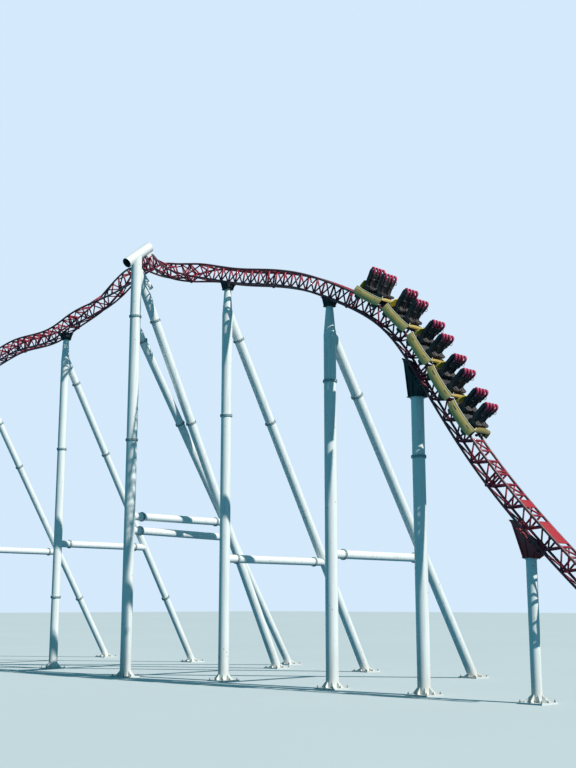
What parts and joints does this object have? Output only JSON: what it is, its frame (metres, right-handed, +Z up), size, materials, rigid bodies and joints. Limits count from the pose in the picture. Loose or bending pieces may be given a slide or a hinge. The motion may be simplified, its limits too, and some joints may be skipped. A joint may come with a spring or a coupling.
{
  "type": "roller coaster section with train, 1:2 scale model",
  "caption": "Steel roller coaster section at 1:2 scale: crimson lattice track with a heartline roll and a steep drop, white tubular columns with raking legs, and a train on the drop.",
  "frame": {"origin": "middle of the underside of the tall pylon column's base plate, at ground level", "axes": "+Z up, +X along the track toward the drop, +Y toward the feet of the raking legs"},
  "size_m": [37.7425, 12.7506, 19.2019],
  "materials": {
    "track_paint": "crimson gloss paint",
    "support_paint": "white gloss paint, faintly teal",
    "saddle_paint": "dark teal satin paint",
    "chassis_steel": "black satin steel",
    "car_paint": "olive gloss paint",
    "seat_shell": "black moulded shell",
    "restraint_pad": "crimson moulded pad"
  },
  "bodies": {
    "root": {"car_1_body": "car_paint", "car_1_chassis": "chassis_steel", "car_1_restraints": "restraint_pad", "car_1_seats": "seat_shell", "car_2_body": "car_paint", "car_2_chassis": "chassis_steel", "car_2_restraints": "restraint_pad", "car_2_seats": "seat_shell", "car_3_body": "car_paint", "car_3_chassis": "chassis_steel", "car_3_restraints": "restraint_pad", "car_3_seats": "seat_shell", "car_4_body": "car_paint", "car_4_chassis": "chassis_steel", "car_4_restraints": "restraint_pad", "car_4_seats": "seat_shell", "car_5_body": "car_paint", "car_5_chassis": "chassis_steel", "car_5_restraints": "restraint_pad", "car_5_seats": "seat_shell", "crest_bent_column": "support_paint", "crest_bent_leg": "support_paint", "crest_bent_saddle": "saddle_paint", "crest_bent_tie": "support_paint", "drop_bent_column": "support_paint", "drop_bent_leg": "support_paint", "drop_bent_saddle": "saddle_paint", "drop_bent_tie": "support_paint", "low_bent_column": "support_paint", "low_bent_saddle": "saddle_paint", "near_bent_column": "support_paint", "near_bent_leg": "support_paint", "near_bent_saddle": "saddle_paint", "near_bent_tie": "support_paint", "pylon_column": "support_paint", "pylon_head": "support_paint", "pylon_leg": "support_paint", "pylon_rear_leg": "support_paint", "pylon_rear_tie": "support_paint", "pylon_tie": "support_paint", "steep_bent_column": "support_paint", "steep_bent_saddle": "saddle_paint", "track_section_1": "track_paint", "track_section_2": "track_paint", "track_section_3": "track_paint", "track_section_4": "track_paint", "track_section_5": "track_paint", "track_section_6": "track_paint", "track_section_7": "track_paint", "track_section_8": "track_paint", "track_section_9": "track_paint", "west_bent_column": "support_paint", "west_bent_leg": "support_paint", "west_bent_saddle": "saddle_paint", "west_bent_tie": "support_paint"}
  },
  "joints": []
}
